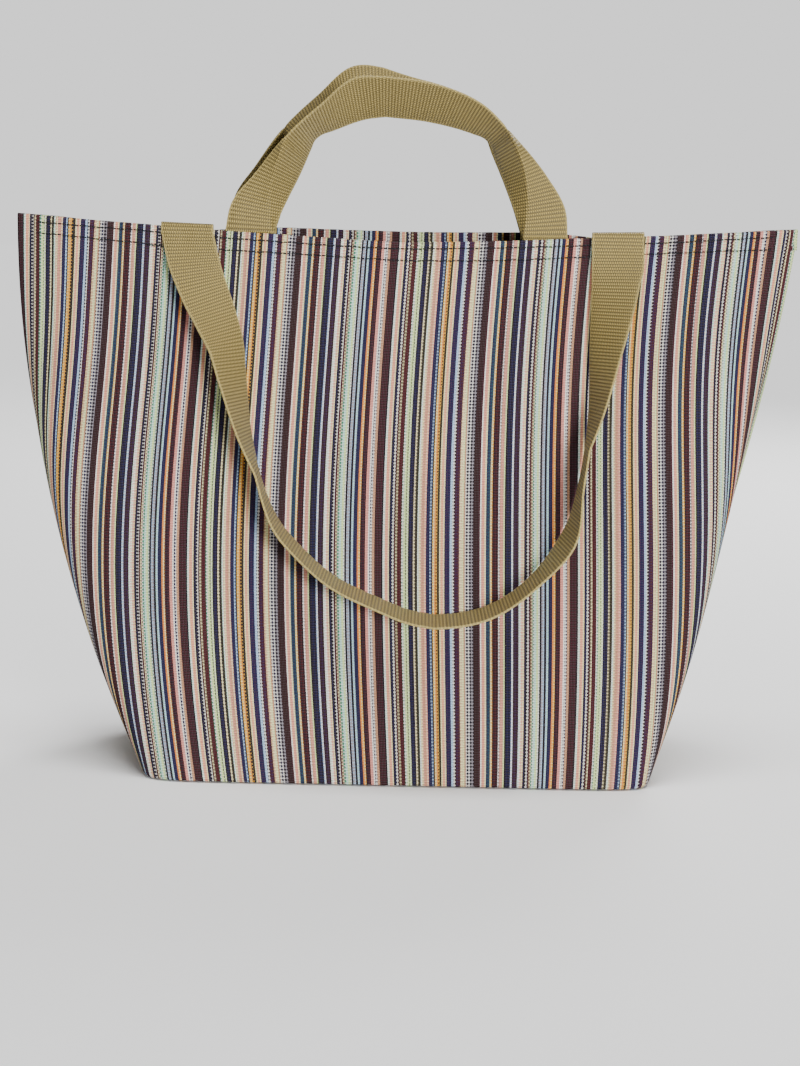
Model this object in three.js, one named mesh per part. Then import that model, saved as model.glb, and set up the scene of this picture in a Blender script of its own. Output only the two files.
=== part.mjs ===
// Foldable tote bag: two striped cloths sewn at the sides and boxed at the base, a turned-down hem,
// two short hand handles that stand up from the mouth and two long shoulder straps that hang outside.
// Millimetres, +Z up, standing on its base. +X is to the right, the front faces -Y.
import * as THREE from "three";
import { mergeVertices } from "three/addons/utils/BufferGeometryUtils.js";

// ---- bag body ----
const BASE_W = 362; // width of the boxed base
const TOP_W = 569; // width of the mouth, corner to corner
const BASE_HALF_D = 104; // half the depth of the boxed base
const MOUTH_HALF_D = 30; // how far each rim stands out in its middle
const FRONT_RIM = 381; // height of the front rim in its middle, where it sags
const BACK_RIM = 388;
const CORNER_RIM = 396; // height of the two top corners
const DIP = 8.5; // the shoulder strap pulls the back rim down by this much
const DIP_X = 178; // middle of that dip, from the middle of the face
const DIP_W = 50;
const LEAN = 7.5; // the body bulges this far to the left at half its height
const HALF_GIRTH = 285; // cloth from the middle of a face to the side seam
const FOLD = 181; // cloth from the middle of a face to the fold beside it
const CLOTH = 1.5; // thickness
const SEAM_GAP = 1; // each cloth stops this far from the seam's plane
const FLOOR_GAP = 1.9; // the walls start this far above the ground, on the base cloth

// ---- hem and seams ----
const HEM_H = 14; // turned-down width
const HEM_REACH = 258; // the hem's inner layer ends this far from the middle
const HEM_DEPTH = 1.9; // middle of the inner layer behind the middle of the face
const STITCH_DROPS = [3.7, 12]; // rows of stitching below the rim
const STITCH_H = 0.8;
const STITCH_REACH = 268; // the rows end this far from the middle
const STITCH_OUT = 1.7; // middle of a row in front of the middle of the face
const SEAM_W = 10; // width of the seam allowances
const SEAM_T = 2.4; // thickness of the two bound layers

// ---- webbing ----
const WEB_W = 38;
const WEB_T = 1.6;
const END_DROP = 34; // the sewn ends reach this far below the rim
const END_DEPTH = 4.3; // middle of a sewn end behind the middle of the face
const HANDLE_X = 105; // half the distance between a handle's legs
const HANDLE_SHIFT = -6.5; // the handles sit a little left of the middle
const HANDLE_H = 112; // foot to the top edge of the arch
const BACK_HANDLE_RISE = 0.06; // the left and middle of the back handle stand higher by this share
const BACK_HANDLE_LEAN = 3; // and its arch is this far to the left
const STRAP_X = 155;
const STRAP_SHIFT = -3.5;
const STRAP_INNER_X = 136; // half the distance between a strap's legs, inside them
const STRAP_OUT = 4.5; // middle of a hanging strap in front of the middle of the face

const group = new THREE.Group();
const cloth = { color: "#7d6f78", roughness: 0.85 };
const webbing = { color: "#a8996f", roughness: 0.7 };
const thread = { color: "#17151c", roughness: 0.6 };

const { clamp, lerp, smoothstep } = THREE.MathUtils;
const vec = (x, y, z) => new THREE.Vector3(x, y, z);

// ---- the shape of the bag ----
// Half width, half depth and squareness of the level section at t, from 0 at the base to 1 at the rim.
const halfWidth = (t) => (BASE_W + (TOP_W - BASE_W) * t * (1.75 - 0.75 * t)) / 2;
const middleX = (t) => -LEAN * Math.sin(Math.PI * clamp(t, 0, 1));
const halfDepth = (t) => lerp(BASE_HALF_D, MOUTH_HALF_D, t);
const squareness = (t) => 1.6 + 10 * (1 - t) ** 2.2;

// Point of the front half section at f, from -1 at the left seam to 1 at the right, by length of cloth.
function section(f, t) {
  const steps = 96;
  const pts = [];
  for (let i = 0; i <= steps; i++) {
    const a = (Math.PI * i) / steps;
    const power = 2 / squareness(t);
    const x = -Math.sign(Math.cos(a)) * halfWidth(t) * Math.abs(Math.cos(a)) ** power;
    pts.push(new THREE.Vector2(x, -halfDepth(t) * Math.sin(a) ** power));
  }
  const along = [0];
  for (let i = 1; i <= steps; i++) along.push(along[i - 1] + pts[i].distanceTo(pts[i - 1]));
  const want = ((f + 1) / 2) * along[steps];
  const after = along.findIndex((s) => s > want);
  const i = after < 0 ? steps : Math.max(after, 1);
  const k = (want - along[i - 1]) / (along[i] - along[i - 1]);
  return pts[i - 1].clone().lerp(pts[i], clamp(k, 0, 1));
}

const rimHeight = (u, side) => {
  const middle = side < 0 ? FRONT_RIM : BACK_RIM;
  const dip = side < 0 ? 0 : DIP * Math.exp(-(((Math.abs(u) - DIP_X) / DIP_W) ** 2));
  return middle + (CORNER_RIM - middle) * Math.abs(u / HALF_GIRTH) ** 1.3 - dip;
};

// Point of the cloth's middle surface. u is cloth to the right of the face's middle, z a height,
// side -1 the front and 1 the back.
function face(u, z, side) {
  const t = clamp(z / rimHeight(u, side), 0, 1);
  const p = section(clamp(u / HALF_GIRTH, -1, 1), t);
  return vec(middleX(t) + p.x, -side * (p.y - SEAM_GAP), z);
}

// Normal of the cloth, away from the inside of the bag.
function outward(u, z, side) {
  const d = 0.5;
  const along = face(u + d, z, side).sub(face(u - d, z, side));
  const up = face(u, z + d, side).sub(face(u, z - d, side));
  return along.cross(up).multiplyScalar(-side).normalize();
}

// Point at a distance in front of the cloth, or inside it where the distance is negative.
const offset = (u, z, side, out) => face(u, z, side).addScaledVector(outward(u, z, side), out);

// ---- solids ----
// A sheet of even thickness whose middle surface is shape(a, b), with a and b from 0 to 1.
function sheet(name, look, cols, rows, thickness, shape) {
  const geometry = new THREE.BoxGeometry(1, 1, 1, cols, rows, 1);
  const position = geometry.attributes.position;
  const d = 0.002;
  for (let i = 0; i < position.count; i++) {
    const a = position.getX(i) + 0.5;
    const b = position.getY(i) + 0.5;
    const da = shape(Math.min(a + d, 1), b).sub(shape(Math.max(a - d, 0), b));
    const db = shape(a, Math.min(b + d, 1)).sub(shape(a, Math.max(b - d, 0)));
    const normal = da.cross(db).normalize();
    const p = shape(a, b).addScaledVector(normal, position.getZ(i) * thickness);
    position.setXYZ(i, p.x, p.y, p.z);
  }
  geometry.deleteAttribute("uv");
  geometry.deleteAttribute("normal");
  const solid = mergeVertices(geometry, 1e-4);
  solid.computeVertexNormals();
  const mesh = new THREE.Mesh(solid, new THREE.MeshStandardMaterial({ ...look, metalness: 0 }));
  mesh.name = name;
  group.add(mesh);
}

// ---- cloth ----
for (const [word, side] of [["front", -1], ["back", 1]]) {
  const turn = (a) => (side < 0 ? a : 1 - a); // keeps the face of every sheet outward
  const wall = (from, to) => (a, b) => {
    const u = lerp(from, to, turn(a));
    return face(u, lerp(FLOOR_GAP, rimHeight(u, side), b), side);
  };
  sheet(`${word}_panel`, cloth, 20, 14, CLOTH, wall(-FOLD + 0.3, FOLD - 0.3));
  sheet(`left_side_${word}`, cloth, 10, 14, CLOTH, wall(-HALF_GIRTH, -FOLD - 0.3));
  sheet(`right_side_${word}`, cloth, 10, 14, CLOTH, wall(FOLD + 0.3, HALF_GIRTH));

  // Half of the base: the cloth runs on under the bag to the seam along its middle.
  sheet(`base_${word}`, cloth, 28, 4, CLOTH, (a, b) => {
    const edge = face(lerp(-HALF_GIRTH, HALF_GIRTH, turn(a)), 0, side);
    return vec(edge.x, lerp(side * SEAM_GAP, edge.y, 1 - b), CLOTH / 2);
  });

  // Hem: the layer turned down inside, and the two rows of stitching that show outside.
  sheet(`${word}_hem`, cloth, 24, 1, CLOTH, (a, b) => {
    const u = lerp(-HEM_REACH, HEM_REACH, turn(a));
    return offset(u, rimHeight(u, side) - lerp(HEM_H, 0.2, b), side, -HEM_DEPTH);
  });
  STITCH_DROPS.forEach((drop, row) => {
    sheet(`${word}_hem_stitch_${row ? "lower" : "upper"}`, thread, 36, 1, 0.7, (a, b) => {
      const u = lerp(-STITCH_REACH, STITCH_REACH, turn(a));
      return offset(u, rimHeight(u, side) - drop - (0.5 - b) * STITCH_H, side, STITCH_OUT);
    });
  });
}

// ---- seam allowances, inside the bag ----
for (const [word, hand] of [["left", -1], ["right", 1]]) {
  const edge = (t, inward) => hand * (halfWidth(t) - inward);
  sheet(`${word}_side_seam`, cloth, 1, 12, SEAM_T, (a, b) => {
    const z = lerp(SEAM_W + 8, CORNER_RIM - 3, b);
    const t = z / CORNER_RIM;
    return vec(middleX(t) + edge(t, lerp(4, 4 + SEAM_W, a)), 0, z);
  });
  sheet(`${word}_corner_seam`, cloth, 4, 1, SEAM_T, (a, b) => {
    const reach = BASE_HALF_D * 0.82;
    return vec(edge(0, 5), lerp(-reach, reach, a), lerp(CLOTH + 0.5, CLOTH + SEAM_W, b));
  });
}
sheet("base_seam", cloth, 6, 1, SEAM_T, (a, b) => {
  const reach = BASE_W / 2 - 8;
  return vec(lerp(-reach, reach, a), 0, lerp(CLOTH + 0.5, CLOTH + SEAM_W, b));
});

// ---- webbing ----
// A short handle. s runs from 0 at the left foot to 1 at the right one and w across the webbing, from
// -1 at the lower edge to 1 at the upper edge. The legs face out of the bag. Along a diagonal crease
// each leg turns over towards the arch, which faces out and down. Points are the distance from the
// handle's middle, the distance inward and the height above the foot. The arch leans to the left.
const curve = (...points) => new THREE.CatmullRomCurve3(points.map(([x, y, z]) => vec(x, y, z)));
const HANDLE_EDGES = {
  left: {
    outer: curve([125, 0, 0], [121, 1, 20], [104, 3, 42], [81, 1, 70], [58, -2, 91], [33, -3, HANDLE_H - 1],
      [11, -3, HANDLE_H]),
    inner: curve([91, 0, 0], [82, 9, 22], [71, 18, 44], [61, 21, 67], [46, 21, 76], [25, 21, 83], [11, 21, 85]),
  },
  right: {
    outer: curve([122, 0, 0], [120, 1, 20], [106, 3, 44], [82, 1, 71], [58, -2, 94], [22, -3, HANDLE_H - 4],
      [-11, -3, HANDLE_H]),
    inner: curve([90, 0, 0], [82, 9, 24], [74, 18, 43], [65, 21, 63], [52, 21, 74], [20, 21, 82], [-11, 21, 85]),
  },
};

function handle(s, w, side) {
  const k = 1 - Math.abs(2 * s - 1); // 0 at a foot, 1 at the top of the arch
  const hand = s < 0.5 ? -1 : 1;
  const edges = HANDLE_EDGES[hand < 0 ? "left" : "right"];
  const p = edges.inner.getPoint(k).lerp(edges.outer.getPoint(k), (w + 1) / 2);
  p.y -= (1 - w * w) * 4 * Math.sin(Math.PI * smoothstep(k, 0.1, 0.95)); // the crease stands out in front
  if (side > 0) p.z *= 1 + BACK_HANDLE_RISE * smoothstep(-hand * p.x, -20, 25);
  const lean = side > 0 ? BACK_HANDLE_LEAN * smoothstep(p.z, 0, 70) : 0;
  const foot = face(HANDLE_X, FRONT_RIM, side);
  return vec(
    HANDLE_SHIFT + hand * p.x - lean,
    foot.y - side * (END_DEPTH + p.y),
    rimHeight(HANDLE_X, side) + 2 + p.z,
  );
}

// A long strap, hanging as a loop in front of its face. Its legs face out at the rim and turn edge-on
// before they meet, so that the bottom of the loop stands out from the cloth. Points of the edge that
// touches the cloth are the distance from the strap's middle and the drop from the rim. The loop hangs
// a little to the right.
const STRAP_PATHS = {
  left: curve([STRAP_INNER_X, 0, 0], [129, 0, 26], [119, 0, 54], [113, 0, 74], [110, 0, 100], [104, 0, 146],
    [94, 0, 181], [84, 0, 201], [66, 0, 221], [47, 0, 237], [9, 0, 255], [-10, 0, 262], [-28, 0, 265]),
  right: curve([STRAP_INNER_X, 0, 0], [136.5, 0, 35], [136, 0, 70], [135, 0, 134], [130, 0, 169], [122, 0, 198],
    [112, 0, 216], [102, 0, 230], [84, 0, 247], [65, 0, 258], [47, 0, 263], [28, 0, 265]),
};

function strap(s, w, side) {
  const k = 1 - Math.abs(2 * s - 1);
  const hand = s < 0.5 ? -1 : 1;
  const path = STRAP_PATHS[hand < 0 ? "left" : "right"];
  const at = path.getPointAt(k);
  const tangent = path.getTangentAt(k);
  const turnEnd = hand < 0 ? 0.5 : 0.45; // the legs are edge-on at this share of their length
  const turn = (Math.PI / 2) * Math.min(k / turnEnd, 1) ** 0.73 * smoothstep(k, 0, 0.1);
  const droop = 0.08 * smoothstep(k, 0.5, 0.65) + (hand > 0 ? 0.13 * Math.exp(-(((k - 0.66) / 0.07) ** 2)) : 0);
  const across = (w + 1) * (WEB_W / 2);
  const level = across * (Math.cos(turn) + Math.sin(turn) * droop);
  const square = smoothstep(k, 0, 0.14); // the webbing is level where it passes over the rim
  const x = at.x + level * lerp(1, tangent.z, square);
  const drop = at.z - level * tangent.x * square;
  const z = rimHeight(STRAP_X, side) - 2 - drop;
  const wall = face(STRAP_SHIFT + hand * x, z, side);
  return vec(STRAP_SHIFT + hand * x, wall.y + side * (STRAP_OUT + across * Math.sin(turn)), z);
}

for (const [word, side] of [["front", -1], ["back", 1]]) {
  sheet(`${word}_handle`, webbing, 44, 4, WEB_T, (a, b) => handle(a, 2 * b - 1, side));
  sheet(`${word}_strap`, webbing, 60, 2, WEB_T, (a, b) => strap(a, 2 * b - 1, side));
  for (const [end, middle, shift] of [["handle", HANDLE_X, HANDLE_SHIFT], ["strap", STRAP_X, STRAP_SHIFT]]) {
    for (const [where, hand] of [["left", -1], ["right", 1]]) {
      sheet(`${word}_${end}_${where}_end`, webbing, 2, 2, WEB_T, (a, b) => {
        const u = shift + hand * middle + (a - 0.5) * WEB_W;
        return offset(u, rimHeight(u, side) - lerp(END_DROP, 1, b), side, -END_DEPTH);
      });
    }
  }
}

export default group;
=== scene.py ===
import math

import bpy
import numpy as np
from mathutils import Matrix, Vector


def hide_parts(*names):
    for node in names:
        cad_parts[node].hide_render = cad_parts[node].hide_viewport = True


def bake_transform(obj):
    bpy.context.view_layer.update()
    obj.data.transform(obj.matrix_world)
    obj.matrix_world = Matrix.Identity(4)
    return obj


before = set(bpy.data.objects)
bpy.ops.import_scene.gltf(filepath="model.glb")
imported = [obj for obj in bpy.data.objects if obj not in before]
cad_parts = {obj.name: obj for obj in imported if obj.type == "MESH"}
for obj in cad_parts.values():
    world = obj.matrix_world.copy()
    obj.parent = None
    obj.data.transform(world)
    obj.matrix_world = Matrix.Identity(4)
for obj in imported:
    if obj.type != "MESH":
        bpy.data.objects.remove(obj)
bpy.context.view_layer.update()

MM = 0.001


def lerp(a, b, k):
    return a + (b - a) * k


def smooth(x, lo, hi):
    """0 below lo, 1 above hi, and an S-shaped step between them."""
    k = np.clip((x - lo) / (hi - lo), 0, 1)
    return k * k * (3 - 2 * k)


# ---------------------------------------------------------------- the bag's shape, in millimetres
BASE_W, TOP_W = 362.0, 569.0
LEAN = 7.5  # the body bulges this far to the left at half its height
BASE_HALF_D, MOUTH_HALF_D = 104.0, 30.0
MOUTH_POWER, BASE_POWER = 1.6, 11.6  # the section goes from a pointed oval to a rounded rectangle
CORNER_RIM = 396.0
MIDDLE_RIM = {-1: 381.0, 1: 388.0}
DIP, DIP_U, DIP_W = 8.5, 178.0, 50.0  # the back strap pulls its rim down
HALF_GIRTH = 285.0  # cloth from the middle of a face to the side seam
HEM_H = 14.0
HEM_DEPTH = 1.9  # middle of the hem's inner layer behind the middle of the face
HANDLE_X, HANDLE_SHIFT = 105.0, -6.5  # half the distance between the legs, and the middle between them
STRAP_X, STRAP_SHIFT = 155.0, -3.5
WEB_W, WEB_T = 38.0, 1.5
END_DROP, END_DEPTH = 34.0, 4.3  # how far a sewn end hangs below the rim and lies behind the face
CLOTH_T = 1.1
SEAM_GAP = 0.6  # the two cloths stop this far from the plane of their seam
FOLD_R = 3.0  # radius of the fold along the base
BASE_REACH = 190.0  # columns of cloth beyond this turn into the sides
BASE_Z = CLOTH_T / 2 + 0.2  # middle of the base's cloth
SIDES = (("front", -1), ("back", 1))


def rim_height(u, side):
    """Height of the rim at u, the distance along the cloth from the middle of its face."""
    mid = MIDDLE_RIM[side]
    dip = DIP * np.exp(-((np.abs(u) - DIP_U) / DIP_W) ** 2) if side > 0 else 0
    return mid + (CORNER_RIM - mid) * np.abs(u / HALF_GIRTH) ** 1.3 - dip


def half_width(t):
    return (BASE_W + (TOP_W - BASE_W) * t * (1.75 - 0.75 * t)) / 2


def middle_x(t):
    return -LEAN * math.sin(math.pi * min(max(t, 0), 1))


def half_section(t, n=601):
    """Points of the front half of the level section at t, and the length of cloth up to each."""
    a = np.linspace(0, math.pi, n)
    power = 2 / (MOUTH_POWER + (BASE_POWER - MOUTH_POWER) * (1 - t) ** 2.2)
    half_w = half_width(t)
    half_d = lerp(BASE_HALF_D, MOUTH_HALF_D, t)
    x = -np.sign(np.cos(a)) * half_w * np.abs(np.cos(a)) ** power
    y = -half_d * np.clip(np.sin(a), 0, 1) ** power
    x[n // 2] = 0
    s = np.concatenate([[0], np.cumsum(np.hypot(np.diff(x), np.diff(y)))])
    return x, y, s / s[-1]


def wall_rows(us, ts, side):
    """Grid (len(ts), len(us), 3) of the cloth's middle surface at rest, before its folds and ripples."""
    grid = np.zeros((len(ts), len(us), 3))
    for row, t in enumerate(ts):
        x, y, s = half_section(min(t, 1))
        f = (us / HALF_GIRTH + 1) / 2
        grid[row, :, 0] = np.interp(f, s, x) + middle_x(t)
        grid[row, :, 1] = -side * (np.interp(f, s, y) - SEAM_GAP)
        grid[row, :, 2] = t * rim_height(us, side)
    return grid


def grid_normals(grid):
    """Unit normals of a grid of points."""
    along = np.gradient(grid, axis=1)
    up = np.gradient(grid, axis=0)
    n = np.cross(along, up)
    return n / np.maximum(np.linalg.norm(n, axis=2, keepdims=True), 1e-9)


def travel(points):
    """The length from the first point up to each one."""
    return np.concatenate([[0], np.cumsum(np.linalg.norm(np.diff(points, axis=0), axis=1))])


# ---------------------------------------------------------------- meshes
def make_mesh(name, verts, faces, uvs=None):
    """A smooth-shaded object from points in millimetres, with the weave's coordinates if given."""
    mesh = bpy.data.meshes.new(name)
    mesh.from_pydata((np.asarray(verts, float) * MM).tolist(), [], faces)
    if uvs is not None:
        layer = mesh.uv_layers.new(name="weave")
        loops = np.empty(len(mesh.loops), dtype=np.int32)
        mesh.loops.foreach_get("vertex_index", loops)
        layer.data.foreach_set("uv", np.asarray(uvs, float)[loops].ravel() * MM)
    mesh.update()
    mesh.polygons.foreach_set("use_smooth", [True] * len(mesh.polygons))
    obj = bpy.data.objects.new(name, mesh)
    bpy.context.scene.collection.objects.link(obj)
    return obj


def grid_faces(rows, cols, flip=False):
    faces = []
    for r in range(rows - 1):
        for c in range(cols - 1):
            i = r * cols + c
            quad = (i, i + 1, i + cols + 1, i + cols)
            faces.append(quad[::-1] if flip else quad)
    return faces


def modifier(obj, kind, **values):
    m = obj.modifiers.new(kind.lower(), kind)
    for key, value in values.items():
        setattr(m, key, value)


def apply_modifiers(obj):
    deps = bpy.context.evaluated_depsgraph_get()
    mesh = bpy.data.meshes.new_from_object(obj.evaluated_get(deps), depsgraph=deps)
    obj.modifiers.clear()
    obj.data = mesh


# ---------------------------------------------------------------- the cloth's stripes
YARN = {
    "navy": "0f1238", "ink": "08080c", "wine": "3a1019", "maroon": "3e0d0d", "brown": "26110c",
    "plum": "2b1238", "sky": "a2bedb", "mint": "b4dccb", "lime": "cfe09a", "green": "2f7a5c",
    "cream": "e9dba6", "tan": "b98a68", "pink": "d68e80", "peach": "e8a679", "orange": "e08838",
    "gold": "e2a93c", "olive": "2b2b10", "grey": "99939a", "white": "ece8df", "teal": "1b3f4e",
}
# Warp order across the cloth from its left seam: yarn, the yarn that flecks it, and its width in mm.
DRAFT = """
brown wine 5, ink . 1, mint white 1.3, peach pink 2.2, cream . 0.8, navy ink 1.8, ink white 1.6
maroon ink 1, cream ink 1.2, maroon . 3, green white 1.4, lime . 1.3, lime ink 1, lime white 1
navy ink 3.6, cream ink 1.2, olive ink 1.8, mint white 1, cream tan 1.5, tan pink 2.4, pink cream 1
navy . 2.6, sky navy 1.2, ink . 0.8, gold cream 1.1, orange gold 1.1, ink gold 1, olive ink 1.6
cream . 0.9, peach pink 1.7, cream . 0.9, navy plum 3.8, sky . 1.5, ink white 1.6, wine plum 3.4
cream tan 1.8, lime cream 1.2, tan . 1.1, ink white 1.6, navy white 1.5, ink grey 2.6, brown . 3.6
wine brown 1.2, white . 0.9, pink peach 2.2, cream . 1, teal navy 3, gold cream 1.3, maroon ink 4.4
white navy 1, pink tan 2.5, lime . 0.9, ink . 1, navy ink 3.8, sky white 1.2, brown plum 4
mint white 1, white peach 1, cream pink 1.8, ink navy 1.8, ink white 1.6, wine . 1.2
cream maroon 1.2, green white 1.4, mint . 1.4, lime . 1.4, white green 0.9, ink . 1.4, grey sky 1.8
ink . 1.6, mint sky 1.3, navy . 2.8, orange . 1.1, gold cream 0.9, wine ink 3.6, pink . 2.1
white . 0.9, navy white 1.8, tan . 1.7
"""


def read_draft(text):
    """The yarn, the flecking yarn and the width of each stripe."""
    out = []
    for part in text.replace("\n", ",").split(","):
        if part.strip():
            yarn, fleck, width = part.split()
            out.append((yarn, yarn if fleck == "." else fleck, float(width)))
    return out


def linear(code):
    """The scene's linear colour for a hexadecimal one."""

    def one(i):
        v = int(code[i:i + 2], 16) / 255
        return v / 12.92 if v <= 0.04045 else ((v + 0.055) / 1.055) ** 2.4

    return (one(0), one(2), one(4), 1)


STRIPES = read_draft(DRAFT)


COLUMN_W = 3.2  # the widest column of faces


def columns():
    """Column positions with one at every stripe's edge, and the stripe of each column of faces."""
    edges, owner = [-HALF_GIRTH], []
    a, k = -HALF_GIRTH, 0
    while a < HALF_GIRTH - 1e-6:
        width = STRIPES[k][2]
        b = min(a + width, HALF_GIRTH)
        parts = math.ceil((b - a) / COLUMN_W)
        for i in range(parts):
            edges.append(a + (b - a) * (i + 1) / parts)
            owner.append(k)
        a += width
        k = (k + 1) % len(STRIPES)
    return np.array(edges), owner


def paint_stripes(obj, owner_of_face):
    """Stores each face's two yarn colours on its corners."""
    for name, which in (("yarn", 0), ("fleck", 1)):
        layer = obj.data.color_attributes.new(name=name, type="FLOAT_COLOR", domain="CORNER")
        colours = np.array([linear(YARN[s[which]]) for s in STRIPES])
        per_face = colours[np.asarray(owner_of_face)]
        totals = np.empty(len(obj.data.polygons), dtype=np.int32)
        obj.data.polygons.foreach_get("loop_total", totals)
        layer.data.foreach_set("color", np.repeat(per_face, totals, axis=0).ravel())


# ---------------------------------------------------------------- materials
class Graph:
    """Short names for the node calls that every material uses."""

    def __init__(self, tree):
        self.nodes, self.links = tree.nodes, tree.links

    def put(self, socket, value):
        if isinstance(value, bpy.types.NodeSocket):
            self.links.new(value, socket)
        else:
            socket.default_value = value

    def math(self, op, a, b=0.0, c=None, clamp=False):
        n = self.nodes.new("ShaderNodeMath")
        n.operation, n.use_clamp = op, clamp
        self.put(n.inputs[0], a)
        self.put(n.inputs[1], b)
        if c is not None:
            self.put(n.inputs[2], c)
        return n.outputs[0]

    def mix(self, factor, a, b, blend="MIX"):
        n = self.nodes.new("ShaderNodeMix")
        n.data_type, n.blend_type = "RGBA", blend
        self.put(n.inputs[0], factor)
        self.put(n.inputs[6], a)
        self.put(n.inputs[7], b)
        return n.outputs[2]

    def uv(self):
        """Distances in metres across and along the weave."""
        n = self.nodes.new("ShaderNodeUVMap")
        n.uv_map = "weave"
        s = self.nodes.new("ShaderNodeSeparateXYZ")
        self.links.new(n.outputs[0], s.inputs[0])
        return s.outputs[0], s.outputs[1]

    def attribute(self, name):
        n = self.nodes.new("ShaderNodeAttribute")
        n.attribute_name = name
        return n.outputs["Color"]

    def noise(self, scale, detail=2.0):
        n = self.nodes.new("ShaderNodeTexNoise")
        n.inputs["Scale"].default_value = scale
        n.inputs["Detail"].default_value = detail
        n.inputs["Roughness"].default_value = 0.5
        place = self.nodes.new("ShaderNodeTexCoord")
        self.links.new(place.outputs["Object"], n.inputs["Vector"])
        return n.outputs[0]

    def swell(self, angle):
        """0 to 1 and back in each turn of angle."""
        return self.math("MULTIPLY_ADD", self.math("SINE", angle), 0.5, 0.5)

    def wave(self, coordinate, pitch):
        """0 to 1 and back in each pitch of a coordinate in metres."""
        return self.swell(self.math("MULTIPLY_ADD", coordinate, 2 * math.pi / pitch, 0.0))

    def ramp(self, value, lo, hi, out_lo=0.0, out_hi=1.0):
        """A value from lo to hi, taken to out_lo to out_hi."""
        n = self.nodes.new("ShaderNodeMapRange")
        self.put(n.inputs[0], value)
        for i, v in enumerate((lo, hi, out_lo, out_hi)):
            n.inputs[i + 1].default_value = v
        return n.outputs[0]

    def bump(self, height, distance, strength):
        n = self.nodes.new("ShaderNodeBump")
        n.inputs["Strength"].default_value = strength
        n.inputs["Distance"].default_value = distance
        self.links.new(height, n.inputs["Height"])
        return n.outputs[0]


def new_material(name):
    """A material with its graph and its shader."""
    m = bpy.data.materials.new(name)
    m.use_nodes = True
    return m, Graph(m.node_tree), m.node_tree.nodes["Principled BSDF"]


WARP_PITCH, WEFT_PITCH = 0.0011, 0.0012  # metres


def cloth_material():
    """Warp-faced cloth: each stripe's yarn, flecked by a second one, over rows of floats, with painted
    shade in the grooves between them.
    """
    m, g, bsdf = new_material("striped_cloth")
    u, v = g.uv()
    row, column = g.wave(v, WEFT_PITCH), g.wave(u, WARP_PITCH)
    pick = g.math("GREATER_THAN", g.wave(v, WEFT_PITCH * 2), g.wave(u, WARP_PITCH * 2))
    grain = g.noise(900.0)
    colour = g.mix(g.math("MULTIPLY", pick, 0.8), g.attribute("yarn"), g.attribute("fleck"))
    # Painted shade: the colour darkens in the grooves between the rows and columns of floats; the grain and
    # a broad noise vary the tone at random.
    groove_shade_and_grain = g.math("MULTIPLY_ADD", row, 0.46, 0.50)
    groove_shade_and_grain = g.math("MULTIPLY", groove_shade_and_grain, g.math("MULTIPLY_ADD", column, 0.16, 0.84))
    groove_shade_and_grain = g.math("MULTIPLY", groove_shade_and_grain, g.math("MULTIPLY_ADD", grain, 0.5, 0.75))
    groove_shade_and_grain = g.math("MULTIPLY", groove_shade_and_grain, g.ramp(g.noise(14.0), 0.3, 0.7, 0.94, 1.05))
    shade = g.nodes.new("ShaderNodeCombineColor")
    for i in range(3):
        g.links.new(groove_shade_and_grain, shade.inputs[i])
    colour = g.mix(1.0, colour, shade.outputs[0], "MULTIPLY")
    # The weft shows in the gaps between the warp's floats.
    beside = g.math("SUBTRACT", 1.15, column)
    gap = g.math("MULTIPLY", g.math("SUBTRACT", 1.0, row), beside, clamp=True)
    colour = g.mix(g.math("MULTIPLY", gap, 0.28), colour, linear("6f636a"))
    g.links.new(colour, bsdf.inputs["Base Color"])
    g.links.new(g.ramp(grain, 0.3, 0.7, 0.78, 0.92), bsdf.inputs["Roughness"])
    bsdf.inputs["Specular IOR Level"].default_value = 0.06
    height = g.math("MULTIPLY", row, g.math("MULTIPLY_ADD", column, 0.5, 0.5))
    g.links.new(g.bump(height, 0.0004, 0.7), bsdf.inputs["Normal"])
    return m


RIB_PITCH, STRAND_PITCH = 0.0025, 0.0017  # metres


def webbing_material():
    """Ribbed webbing with a slight gloss, painted shade in the valleys between its ribs, a painted
    highlight along its edges, and darker in patches.
    """
    m, g, bsdf = new_material("webbing")
    s, w = g.uv()
    ribs = g.wave(s, RIB_PITCH)
    # The strands of each rib stand between those of the one before.
    stagger = g.math("MULTIPLY", g.math("FLOOR", g.math("DIVIDE", s, RIB_PITCH)), math.pi)
    strands = g.swell(g.math("ADD", g.math("MULTIPLY", w, 2 * math.pi / STRAND_PITCH), stagger))
    ribs, strands = (g.math("MULTIPLY_ADD", part, 0.75, 0.25) for part in (ribs, strands))
    height = g.math("MULTIPLY", ribs, strands)
    grain = g.noise(1500.0)
    # Painted shade and highlight: the valleys between ribs and strands are painted dark and their crests
    # light.
    colour = g.mix(height, linear("1d160a"), linear("a89353"))
    colour = g.mix(g.ramp(grain, 0.4, 0.65, 0.0, 0.06), colour, linear("b9a968"))
    # Painted highlight: the webbing's edges are painted paler, for the light that its selvedges catch.
    edge = g.ramp(g.math("ABSOLUTE", w), 0.0172, 0.0188)
    colour = g.mix(g.math("MULTIPLY", edge, 0.6), colour, linear("a3925a"))
    colour = g.mix(g.ramp(g.noise(22.0, detail=3.0), 0.35, 0.7, 0.0, 0.2), colour, linear("6b5c33"))
    g.links.new(colour, bsdf.inputs["Base Color"])
    g.links.new(g.ramp(grain, 0.3, 0.7, 0.46, 0.6), bsdf.inputs["Roughness"])
    bsdf.inputs["Specular IOR Level"].default_value = 0.25
    bsdf.inputs["Sheen Weight"].default_value = 0.04
    bsdf.inputs["Sheen Roughness"].default_value = 0.35
    g.links.new(g.bump(height, 0.0007, 0.8), bsdf.inputs["Normal"])
    return m


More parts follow.
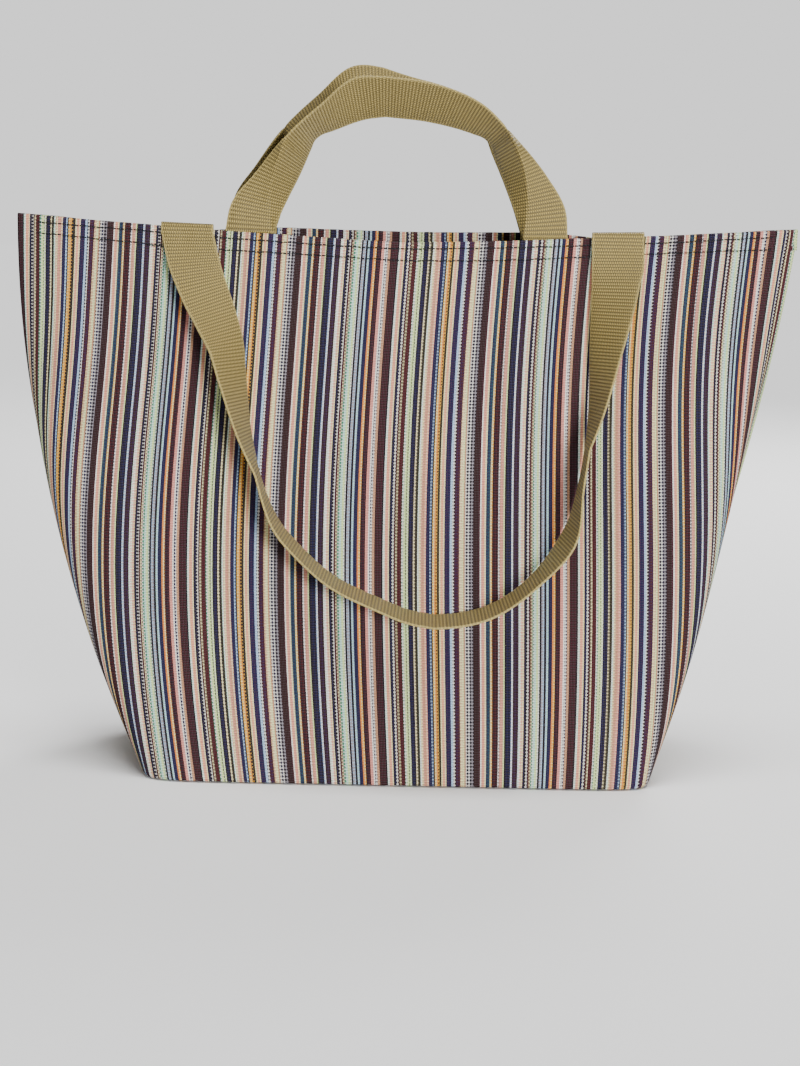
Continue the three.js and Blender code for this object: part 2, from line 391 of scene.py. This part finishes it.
def thread_material(name, code, light):
    """Twisted thread that goes from one colour to a lighter one along its plies."""
    m, g, bsdf = new_material(name)
    ply = g.noise(2600.0)
    g.links.new(g.mix(ply, linear(code), linear(light)), bsdf.inputs["Base Color"])
    g.links.new(g.ramp(ply, 0.3, 0.7, 0.45, 0.7), bsdf.inputs["Roughness"])
    bsdf.inputs["Specular IOR Level"].default_value = 0.2
    g.links.new(g.bump(ply, 0.0001, 0.6), bsdf.inputs["Normal"])
    return m


CLOTH = cloth_material()
WEBBING = webbing_material()
SEAM_CLOTH = thread_material("seam_cloth", "3a3138", "8a7a72")
THREAD = thread_material("hem_thread", "060609", "121118")
OVERLOCK = thread_material("seam_binding", "2b2733", "5d5560")


# ---------------------------------------------------------------- cloth pieces
def ripples(us, ts, side):
    """How far the cloth stands out of its smooth shape, by column and row, in millimetres."""
    u, t = np.meshgrid(us, ts)
    edge = np.abs(u) / HALF_GIRTH
    out = 0.9 * np.sin(u / 31 + 1.3 * side + 2.2 * t) * np.sin(3.1 * t + 0.6)
    out += 0.6 * np.sin(u / 17.5 - 5 * t + side) * smooth(t, 0.25, 0.8)
    # The rim is a little long for the cloth below it, and waves near its corners.
    wave = np.sin(u / 8.3 + 0.9 * np.sin(u / 23)) * smooth(t, 0.84, 1.0) * smooth(edge, 0.45, 0.8)
    out += 1.3 * wave * (1 - smooth(edge, 0.94, 1.0))
    # The hem puckers between its rows of stitching.
    out += 0.45 * np.sin(u / 2.3 + 1.5 * np.sin(u / 19)) * smooth(t, 0.955, 0.975)
    # Slack cloth sinks between the boxed corners and the mouth at each side.
    slack = np.where(u < 0, 0.5, 3.0) * np.exp(-((edge - 0.93) / 0.12) ** 2)
    out -= slack * smooth(t, 0.05, 0.35) * (1 - smooth(t, 0.55, 0.9))
    # The face gives a little above the base.
    out += 2.2 * np.exp(-(u / 150) ** 2) * np.exp(-((t - 0.22) / 0.2) ** 2)
    out *= 1 - smooth(edge, 0.985, 1.0)
    return out * smooth(t, 0.0, 0.04)


class Wall:
    """One face of the bag with its ripples: the grid of its middle surface, and points on or near it."""

    def __init__(self, side):
        self.side = side
        self.us, self.owner = columns()
        self.ts = np.concatenate([[0.0, 0.003, 0.008], np.linspace(0.02, 0.97, 68), [0.98, 0.99, 1.0]])
        smooth_grid = wall_rows(self.us, self.ts, side)
        normals = grid_normals(smooth_grid)
        normals *= np.sign((normals[..., 1] * side).sum())
        grid = smooth_grid + normals * ripples(self.us, self.ts, side)[..., None]
        # The fold along the base is rounded.
        sink = FOLD_R - np.sqrt(np.maximum(FOLD_R**2 - np.maximum(FOLD_R - grid[..., 2], 0) ** 2, 0))
        level = normals.copy()
        level[..., 2] = 0
        level /= np.linalg.norm(level, axis=2, keepdims=True)
        grid -= level * sink[..., None]
        grid[..., 2] = np.maximum(grid[..., 2], BASE_Z)
        self.grid, self.normals, self.level = grid, normals, level

    def at(self, u, drop, out):
        """The point at u, drop below the rim along the face, and out in front of the cloth's middle."""
        t = 1 - drop / rim_height(u, self.side)
        r = np.interp(t, self.ts, np.arange(len(self.ts)))
        c = np.interp(u, self.us, np.arange(len(self.us)))
        r0, c0 = min(int(r), len(self.ts) - 2), min(int(c), len(self.us) - 2)
        a, b = r - r0, c - c0

        def pick(g):
            low = g[r0, c0] * (1 - b) + g[r0, c0 + 1] * b
            high = g[r0 + 1, c0] * (1 - b) + g[r0 + 1, c0 + 1] * b
            return low * (1 - a) + high * a

        return pick(self.grid) + pick(self.normals) * out


WALLS = {side: Wall(side) for _, side in SIDES}


def cloth_piece(name, side):
    """One cut of cloth: its face and half sides, its half of the base, and the hem turned down inside."""
    wall = WALLS[side]
    us, owner = wall.us, wall.owner
    rim, away = wall.grid[-1], wall.level[-1]
    fade = np.clip((HALF_GIRTH - np.abs(us)) / 12, 0.12, 1)[:, None]
    fold = []
    for degrees in (50, 100, 150, 180):
        k = math.radians(degrees)
        up = np.array([0, 0, 1.0]) * 0.75 * math.sin(k)
        fold.append(rim - away * HEM_DEPTH / 2 * (1 - math.cos(k)) * fade + up)
    for drop in (3.5, 7, 10.5, HEM_H):
        fold.append(rim - away * HEM_DEPTH * fade - np.array([0, 0, drop]))
    grid = np.concatenate([wall.grid, np.array(fold)])
    rows, cols = grid.shape[:2]
    climb = travel(grid[:, cols // 2])
    uvs = np.stack(np.broadcast_arrays(us[None, :], climb[:, None]), axis=-1).reshape(-1, 2)
    faces = grid_faces(rows, cols, flip=side > 0)
    owners = owner * (rows - 1)

    # Half of the base carries on from the bottom row.
    keep = np.where(np.abs(us) <= BASE_REACH)[0]
    edge = grid[0, keep]
    corner = np.abs(edge[:, 0]).max()
    verts, base_uvs, n_rows = [grid.reshape(-1, 3)], [uvs], 15
    for r in range(1, n_rows + 1):
        k = r / n_rows
        y = edge[:, 1] * (1 - k) + side * SEAM_GAP * k
        outline = BASE_W / 2 * (1 - np.abs(y / BASE_HALF_D) ** BASE_POWER) ** (1 / BASE_POWER) - 1.2
        reach = corner + (outline - corner) * smooth(np.abs(y), BASE_HALF_D, BASE_HALF_D - 14)
        x = edge[:, 0] / corner * reach
        verts.append(np.stack([x, y, np.full_like(y, BASE_Z)], axis=1))
        base_uvs.append(np.stack([us[keep], -k * np.full_like(y, BASE_HALF_D)], axis=1))
    first = rows * cols
    above = [int(i) for i in keep]
    for r in range(n_rows):
        below = [first + r * len(keep) + c for c in range(len(keep))]
        for c in range(len(keep) - 1):
            quad = (above[c], below[c], below[c + 1], above[c + 1])
            faces.append(quad[::-1] if side > 0 else quad)
            owners.append(owner[keep[c]])
        above = below
    obj = make_mesh(name, np.concatenate(verts), faces, np.concatenate(base_uvs))
    paint_stripes(obj, owners)
    modifier(obj, "SOLIDIFY", thickness=CLOTH_T * MM, offset=0.0)
    apply_modifiers(obj)
    obj.data.materials.append(CLOTH)
    return obj


def cloth_blend(obj):
    """Bakes the object's transform into its mesh."""
    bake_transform(obj)


def put_in_seam(pieces, node):
    """Seam allowances have their transforms baked and stand for their CAD node, which is hidden."""
    for piece in pieces:
        cloth_blend(piece)
        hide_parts(node)


for word, side in SIDES:
    piece = cloth_piece(f"{word}_cloth", side)
    cloth_blend(piece)
    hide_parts(f"{word}_panel", f"left_side_{word}", f"right_side_{word}", f"{word}_hem",
                f"base_{word}")


# ---------------------------------------------------------------- stitches
def bead(a, b, up, width, height):
    """A stitch from a to b: a low six-sided thread that dips into the cloth at both ends."""
    along = (b - a) / np.linalg.norm(b - a)
    across = np.cross(up, along)
    across /= np.linalg.norm(across)
    verts = []
    for k, size in ((0.0, 0.55), (0.14, 0.95), (0.5, 1.0), (0.86, 0.95), (1.0, 0.55)):
        centre = a + (b - a) * k + up * height * (math.sin(math.pi * k) - 0.3)
        for i in range(6):
            angle = math.pi * i / 3
            verts.append(centre + (across * math.cos(angle) + up * math.sin(angle)) * width / 2 * size)
    faces = []
    for r in range(4):
        for i in range(6):
            j = (i + 1) % 6
            faces.append((r * 6 + i, r * 6 + j, r * 6 + 6 + j, r * 6 + 6 + i))
    faces.append(tuple(range(5, -1, -1)))
    faces.append(tuple(range(24, 30)))
    return verts, faces


def thread_run(name, material, stitches):
    """One mesh of many stitches, each given by its ends, its upward direction, width and height."""
    verts, faces = [], []
    for a, b, up, width, height in stitches:
        v, f = bead(np.asarray(a), np.asarray(b), np.asarray(up), width, height)
        faces += [tuple(i + len(verts) for i in face) for face in f]
        verts += v
    obj = make_mesh(name, verts, faces)
    obj.data.materials.append(material)
    return obj


STITCH_REACH = 268.0  # the rows end this far from the middle
STITCH = 3.1  # length of a stitch
STITCH_ROWS = (("upper", (3.9, 0.25)), ("lower", (12.2, 0.5)))  # drop below the rim, and how far it wanders
BACKSTITCH_U, BACKSTITCH_DROP = -186.0, 14.0
END_MIDDLES = [shift + hand * x for x, shift in ((HANDLE_X, HANDLE_SHIFT), (STRAP_X, STRAP_SHIFT))
               for hand in (-1, 1)]


def hem_stitches(wall, drop, wander):
    """A row of stitches outside the hem and the row's other thread inside it, half a stitch along."""
    out = []
    u = -STITCH_REACH
    while u < STITCH_REACH - STITCH:
        level = drop + wander * math.sin(u / 37 + drop) + 0.15 * math.sin(u * 1.7)
        a, b = u + 0.2, u + STITCH - 0.2
        outside = CLOTH_T / 2 + 0.05
        normal = wall.at(u, level, 1) - wall.at(u, level, 0)
        out.append((wall.at(a, level, outside), wall.at(b, level + 0.12, outside), normal, 1.0, 0.25))
        over = any(abs(u + STITCH / 2 - m) < WEB_W / 2 for m in END_MIDDLES)
        inside = -(END_DEPTH + WEB_T / 2 + 0.1) if over else -(HEM_DEPTH + CLOTH_T / 2 + 0.1)
        a, b = a + STITCH / 2, b + STITCH / 2
        out.append((wall.at(a, level, inside), wall.at(b, level, inside), -normal, 0.8, 0.2))
        u += STITCH
    return out


for word, side in SIDES:
    for row, (drop, wander) in STITCH_ROWS:
        stitches = hem_stitches(WALLS[side], drop, wander)
        if row == "lower":
            # The row was started and finished with a few stitches back beside the left strap.
            wall, drop, out = WALLS[side], BACKSTITCH_DROP, 0.65
            for i in range(5):
                a = BACKSTITCH_U + i * STITCH
                normal = wall.at(a, drop, 1) - wall.at(a, drop, 0)
                stitches.append((wall.at(a, drop, out), wall.at(a + 2.7, drop - 0.3, out), normal,
                                 0.85, 0.25))
        piece = thread_run(f"{word}_hem_stitches_{row}", THREAD, stitches)
        cloth_blend(piece)
        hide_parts(f"{word}_hem_stitch_{row}")


# ---------------------------------------------------------------- seam allowances, inside the bag
ALLOWANCE_T = 1.6


def overlocked(name, path, width_dir, width):
    """A bound seam allowance along a path, with the loops of its overlocking over the free edge."""
    path = np.asarray(path, float)
    s = travel(path)
    even = np.linspace(0, s[-1], max(int(s[-1] / 4), 8))
    line = np.stack([np.interp(even, s, path[:, i]) for i in range(3)], axis=1)
    across = np.asarray(width_dir, float)
    flat = np.cross(np.gradient(line, axis=0), across)
    flat /= np.linalg.norm(flat, axis=1, keepdims=True)
    cols = 6
    verts, uvs = [], []
    for i, p in enumerate(line):
        for c in range(cols):
            w = width * c / (cols - 1)
            lift = 0.35 * math.sin(even[i] / 9) * (c / (cols - 1)) ** 2
            verts.append(p + across * w + flat[i] * lift)
            uvs.append((w, even[i]))
    ribbon = make_mesh(name, verts, grid_faces(len(line), cols), uvs)
    modifier(ribbon, "SOLIDIFY", thickness=ALLOWANCE_T * MM, offset=0.0)
    apply_modifiers(ribbon)
    ribbon.data.materials.append(SEAM_CLOTH)
    stitches = []
    n = int(s[-1] / 2.6)
    for i in range(n):
        k = (i + 0.5) / n * s[-1]
        p = np.array([np.interp(k, s, path[:, j]) for j in range(3)])
        q = np.array([np.interp(min(k + 1.3, s[-1]), s, path[:, j]) for j in range(3)])
        nrm = np.array([np.interp(k, even, flat[:, j]) for j in range(3)])
        for face_dir in (-1, 1):
            lift = nrm * face_dir * (ALLOWANCE_T / 2 + 0.35)
            stitches.append((p + across * (width - 5) + lift, q + across * (width + 0.2) + lift,
                             nrm * face_dir, 0.7, 0.15))
    loops = thread_run(f"{name}_overlock", OVERLOCK, stitches)
    return ribbon, loops


def side_path(hand, inset):
    """Points up the bag's side, inset from it."""
    return [(middle_x(t) + hand * (half_width(t) - inset), 0, t * CORNER_RIM)
            for t in np.linspace(0.05, 0.985, 60)]


CORNER_REACH = BASE_HALF_D * 0.8
SEAM_FOOT = 2.2  # height at which the allowances in the base start
for word, hand in (("left", -1), ("right", 1)):
    allowance = overlocked(f"{word}_side_seam_allowance", side_path(hand, 3.5), (-hand, 0, 0), 10)
    put_in_seam(allowance, f"{word}_side_seam")
    corner = [(hand * (BASE_W / 2 - 5), y, SEAM_FOOT) for y in np.linspace(-CORNER_REACH, CORNER_REACH, 40)]
    allowance = overlocked(f"{word}_corner_seam_allowance", corner, (0, 0, 1), 9)
    put_in_seam(allowance, f"{word}_corner_seam")
base_line = [(x, 0, SEAM_FOOT) for x in np.linspace(-BASE_W / 2 + 8, BASE_W / 2 - 8, 60)]
put_in_seam(overlocked("base_seam_allowance", base_line, (0, 0, 1), 9), "base_seam")


# ---------------------------------------------------------------- webbing
class Curve:
    """A smooth curve through points, taken by its share of length."""

    def __init__(self, *points):
        self.p = np.array(points, float)
        self.s = travel(self.p)
        self.m = np.gradient(self.p, self.s, axis=0)

    def at(self, k):
        s = np.clip(k, 0, 1) * self.s[-1]
        i = min(np.searchsorted(self.s, s, side="right") - 1, len(self.s) - 2)
        h = self.s[i + 1] - self.s[i]
        x = (s - self.s[i]) / h
        return ((2 * x**3 - 3 * x**2 + 1) * self.p[i] + (x**3 - 2 * x**2 + x) * h * self.m[i]
                + (3 * x**2 - 2 * x**3) * self.p[i + 1] + (x**3 - x**2) * h * self.m[i + 1])

    def direction(self, k):
        d = self.at(min(k + 0.004, 1)) - self.at(max(k - 0.004, 0))
        return d / np.linalg.norm(d)


# Points are the distance from the handle's middle, the distance inward and the height above the foot.
HANDLE_H = 112.0
OUTER = {
    -1: Curve((125, 0, 0), (121, 1, 20), (104, 3, 42), (81, 1, 70), (58, -2, 91), (33, -3, HANDLE_H - 1),
              (11, -3, HANDLE_H)),
    1: Curve((122, 0, 0), (120, 1, 20), (106, 3, 44), (82, 1, 71), (58, -2, 94), (22, -3, HANDLE_H - 4),
             (-11, -3, HANDLE_H)),
}
INNER = {
    -1: Curve((91, 0, 0), (82, 10, 22), (72, 19, 44), (65, 21, 61), (62.5, 21, 67), (58, 21, 71),
              (50, 21, 74), (25, 21, 83), (11, 21, 85)),
    1: Curve((90, 0, 0), (82, 10, 24), (75, 19, 43), (69, 21, 58), (66, 21, 66), (61, 21, 71), (53, 21, 74),
             (20, 21, 82), (-11, 21, 85)),
}
BACK_HANDLE_RISE, BACK_HANDLE_LEAN = 0.06, 3.0
CREASE_END = 0.5  # share of a leg over which its crease runs across the webbing
FOOT_W, FOOT_OUT = 34.5, 2.5  # width across a folded foot at the rim, and how far its middle is outward
END_ROWS = [END_DROP, 30, 25, 20, 16, 12, 9, 6, 3, 0.5]  # drops below the rim


def crease_side(k):
    """Where the crease crosses the webbing, from -1 at its lower edge to 1 at its upper one."""
    return -0.96 + 1.92 * min(k / CREASE_END, 1) ** 1.1


def handle_row(k, hand, side):
    """Edges and crease of a handle's leg at share k of its length: three points, and the crease's w."""
    outer, inner = OUTER[hand].at(k), INNER[hand].at(k)
    wc = crease_side(k)
    crease = inner + (outer - inner) * (wc + 1) / 2
    chord = np.linalg.norm(outer - inner)
    spare = max(WEB_W - chord, 0.0)
    # The webbing's whole width goes over the crease, which so stands out in front.
    a, b = (1 - wc) / 2 * chord, (1 + wc) / 2 * chord
    lift = math.sqrt(max(2 * spare * a * b / max(a + b, 1e-6), 0))
    lift *= 1 - smooth(k, CREASE_END - 0.06, CREASE_END)
    crease = crease + np.array([0, -lift, 0])
    out = []
    for p in (inner, crease, outer):
        z, lean = p[2], 0.0
        if side > 0:
            z *= 1 + BACK_HANDLE_RISE * smooth(-hand * p[0], -20, 25)
            lean = BACK_HANDLE_LEAN * smooth(z, 0, 70)
        out.append((HANDLE_SHIFT + hand * p[0] - lean, p[1], z))
    return out, wc


def webbing_piece(name, rows, ws_rows):
    """Webbing from rows of points across it, with the weave's coordinates along and across."""
    rows = np.asarray(rows)
    n, cols = rows.shape[:2]
    lengths = travel(rows[:, cols // 2])
    uvs = [(lengths[i], ws_rows[i][c] * WEB_W / 2) for i in range(n) for c in range(cols)]
    obj = make_mesh(name, rows.reshape(-1, 3), grid_faces(n, cols), uvs)
    modifier(obj, "SOLIDIFY", thickness=WEB_T * MM, offset=0.0, use_even_offset=True)
    modifier(obj, "BEVEL", width=0.45 * MM, segments=2, limit_method="ANGLE",
             angle_limit=math.radians(50))
    apply_modifiers(obj)
    obj.data.polygons.foreach_set("use_smooth", [True] * len(obj.data.polygons))
    obj.data.materials.append(WEBBING)
    return obj


def make_handle(word, side):
    """A handle with its two sewn ends, from the left one to the right one."""
    wall = WALLS[side]
    foot_y = {hand: wall.at(HANDLE_SHIFT + hand * HANDLE_X, 0, 0)[1] for hand in (-1, 1)}
    rim = rim_height(HANDLE_X, side) + 2
    rows, w_rows = [], []

    def spread(wc):
        """Places across the webbing, closer together beside the crease at wc."""
        lower = [-1 + (wc + 1) * f for f in (0, 0.33, 0.66, 0.9)]
        upper = [wc + (1 - wc) * f for f in (0.1, 0.34, 0.67, 1)]
        return lower + [wc] + upper

    def leg(hand, ks):
        for k in ks:
            (inner, crease, outer), wc = handle_row(k, hand, side)
            ws = spread(wc)
            foot = foot_y[hand]
            line = []
            for w in ws:
                if w <= wc:
                    f = (w + 1) / (wc + 1)
                    p = np.array(inner) * (1 - f) + np.array(crease) * f
                else:
                    f = (w - wc) / (1 - wc)
                    p = np.array(crease) * (1 - f) + np.array(outer) * f
                cup = 1.1 * (1 - w * w) * smooth(k, CREASE_END, CREASE_END + 0.2)
                line.append((p[0], foot - side * (END_DEPTH + p[1] - cup), rim + p[2]))
            rows.append(line)
            w_rows.append(ws)

    def end(hand):
        middle = HANDLE_SHIFT + hand * (HANDLE_X + FOOT_OUT)
        ws = spread(crease_side(0))
        for drop in END_ROWS[::-hand]:
            width = lerp(WEB_W, FOOT_W, smooth(drop, HEM_H, 0))
            rows.append([wall.at(middle + hand * w * width / 2, drop, -END_DEPTH) for w in ws])
            w_rows.append(ws)

    ks = list(np.linspace(0, 0.6, 46)) + list(np.linspace(0.62, 1, 22))
    end(-1)
    leg(-1, ks)
    leg(1, ks[-2::-1])
    end(1)
    obj = webbing_piece(f"{word}_handle_webbing", rows, w_rows)
    if side > 0:
        obj.data.flip_normals()
    return obj


# Points of the edge that touches the cloth: the distance from the strap's middle and the drop from the rim.
# The loop hangs a little to the right.
PATHS = {
    -1: Curve((136, 0), (129, 26), (119, 54), (113, 74), (110, 100), (104, 146), (94, 181), (84, 201),
              (66, 221), (47, 237), (9, 255), (-10, 262), (-28, 265)),
    1: Curve((136, 0), (136.5, 35), (136, 70), (135, 134), (130, 169), (122, 198), (112, 216), (102, 230),
             (84, 247), (65, 258), (47, 263), (28, 265)),
}
TURN_END = {-1: 0.5, 1: 0.45}  # the legs are edge-on at this share of their length
TURN_RISE = {-1: 5.6, 1: 3.0}  # how high a strap goes over the rim
STRAP_OUT = 4.8  # middle of a hanging strap in front of the middle of the face


def strap_point(k, w, hand, side):
    """A point at share k of a strap's leg and place w across it, from -1 against the cloth to 1."""
    path = PATHS[hand]
    at, tangent = path.at(k), path.direction(k)
    turn = math.pi / 2 * min(k / TURN_END[hand], 1) ** 0.73 * smooth(k, 0, 0.1)
    droop = 0.08 * smooth(k, 0.5, 0.65) + (0.13 * math.exp(-((k - 0.66) / 0.07) ** 2) if hand > 0 else 0)
    across = (w + 1) * WEB_W / 2
    level = across * (math.cos(turn) + math.sin(turn) * droop)
    square = smooth(k, 0, 0.14)
    x = at[0] + level * lerp(1, tangent[1], square)
    drop = at[1] - level * tangent[0] * square
    z = rim_height(STRAP_X, side) - 2 - drop
    wall = WALLS[side].at(STRAP_SHIFT + hand * x, max(rim_height(STRAP_X, side) - z, 0), 0)
    return np.array([STRAP_SHIFT + hand * x, wall[1] + side * (STRAP_OUT + across * math.sin(turn)), z])


def make_strap(word, side):
    """A shoulder strap with its two sewn ends, from the left one over the rim, down and back up."""
    wall = WALLS[side]
    ws = [-1, -0.75, -0.5, -0.25, 0, 0.25, 0.5, 0.75, 1]
    rows = []

    def end(hand, drops):
        middle = STRAP_SHIFT + hand * STRAP_X
        for drop in drops:
            rows.append([wall.at(middle + hand * w * WEB_W / 2, drop, -END_DEPTH) for w in ws])

    def over(hand, shares):
        middle = STRAP_SHIFT + hand * STRAP_X
        for k in shares:
            line = []
            for w in ws:
                a = wall.at(middle + hand * w * WEB_W / 2, 0.5, -END_DEPTH)
                b = strap_point(0, w, hand, side)
                p = a * (1 - k) + b * k
                swing = (1 - math.cos(math.pi * k)) / 2
                p[1] = a[1] * (1 - swing) + b[1] * swing
                p[2] += TURN_RISE[side] * math.sin(math.pi * k) ** 0.7
                line.append(p)
            rows.append(line)

    drops = [END_DROP, 30, 25, 20, 15, 10, 6, 3, 0.5]
    shares = [i / 10 for i in range(1, 10)]
    ks = np.linspace(0, 1, 96)
    end(-1, drops)
    over(-1, shares)
    rows += [[strap_point(k, w, -1, side) for w in ws] for k in ks]
    rows += [[strap_point(k, w, 1, side) for w in ws] for k in ks[-2::-1]]
    over(1, shares[::-1])
    end(1, drops[::-1])
    obj = webbing_piece(f"{word}_strap_webbing", rows, [ws] * len(rows))
    if side > 0:
        obj.data.flip_normals()
    return obj


for word, side in SIDES:
    handle = make_handle(word, side)
    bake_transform(handle)
    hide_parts(f"{word}_handle", f"{word}_handle_left_end", f"{word}_handle_right_end")

    strap = make_strap(word, side)
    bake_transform(strap)
    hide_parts(f"{word}_strap", f"{word}_strap_left_end", f"{word}_strap_right_end")

# ---------------------------------------------------------------- light, floor and camera
bpy.ops.mesh.primitive_plane_add(size=60, location=(0, 0, -0.0005))
floor = bpy.context.object
floor.name = "floor"
pale, _, shader = new_material("floor")
shader.inputs["Base Color"].default_value = (0.93, 0.93, 0.93, 1)
shader.inputs["Roughness"].default_value = 0.9
floor.data.materials.append(pale)

world = bpy.data.worlds.new("studio")
bpy.context.scene.world = world
world.use_nodes = True
nodes, links = world.node_tree.nodes, world.node_tree.links
ambient, backdrop = nodes["Background"], nodes.new("ShaderNodeBackground")
for shader, strength in ((ambient, 0.26), (backdrop, 1.18)):
    shader.inputs[0].default_value = (1, 1, 1, 1)
    shader.inputs[1].default_value = strength
# What is seen behind the floor is as bright as the floor's far end, and lights nothing.
seen = nodes.new("ShaderNodeMixShader")
links.new(nodes.new("ShaderNodeLightPath").outputs["Is Camera Ray"], seen.inputs[0])
links.new(ambient.outputs[0], seen.inputs[1])
links.new(backdrop.outputs[0], seen.inputs[2])
links.new(seen.outputs[0], nodes["World Output"].inputs[0])


def hang_light(data, strength, source):
    """Puts a light in the scene that shines from the direction of source."""
    data.energy = strength
    lamp = bpy.data.objects.new(data.name, data)
    lamp.rotation_euler = Vector(source).to_track_quat("Z", "Y").to_euler()
    bpy.context.scene.collection.objects.link(lamp)
    return lamp


def sun_light(name, source, softness, strength):
    """A light as wide as softness in degrees, which falls on everything alike."""
    data = bpy.data.lights.new(name, "SUN")
    data.angle = math.radians(softness)
    hang_light(data, strength, source)


back_data = bpy.data.lights.new("back", "AREA")
back_data.shape, back_data.size = "SQUARE", 1.0
hang_light(back_data, 60, (1.1, 2.3, 1.75)).location = (1.1, 2.3, 2.0)
sun_light("overhead", (0, -0.156, 0.988), 35, 3.0)
sun_light("key", (0.85, -2.2, 0.17), 15, 6.4)

CAMERA_DISTANCE, CAMERA_RISE = 1.75, math.radians(7.5)
CAMERA_ROLL = math.radians(1.225)
TARGET = Vector((-0.0008, 0.0, 0.1674))
camera_data = bpy.data.cameras.new("camera")
camera_data.sensor_fit = "VERTICAL"
camera_data.sensor_height = 32.0
FRAME_HEIGHT = 0.792
camera_data.lens = 32.0 * CAMERA_DISTANCE / FRAME_HEIGHT
camera = bpy.data.objects.new("camera", camera_data)
bpy.context.scene.collection.objects.link(camera)
camera.location = TARGET + Vector((0, -math.cos(CAMERA_RISE), math.sin(CAMERA_RISE))) * CAMERA_DISTANCE
look = (TARGET - camera.location).to_track_quat("-Z", "Y").to_matrix()
camera.rotation_euler = (look @ Matrix.Rotation(CAMERA_ROLL, 3, "Z")).to_euler()
bpy.context.scene.camera = camera
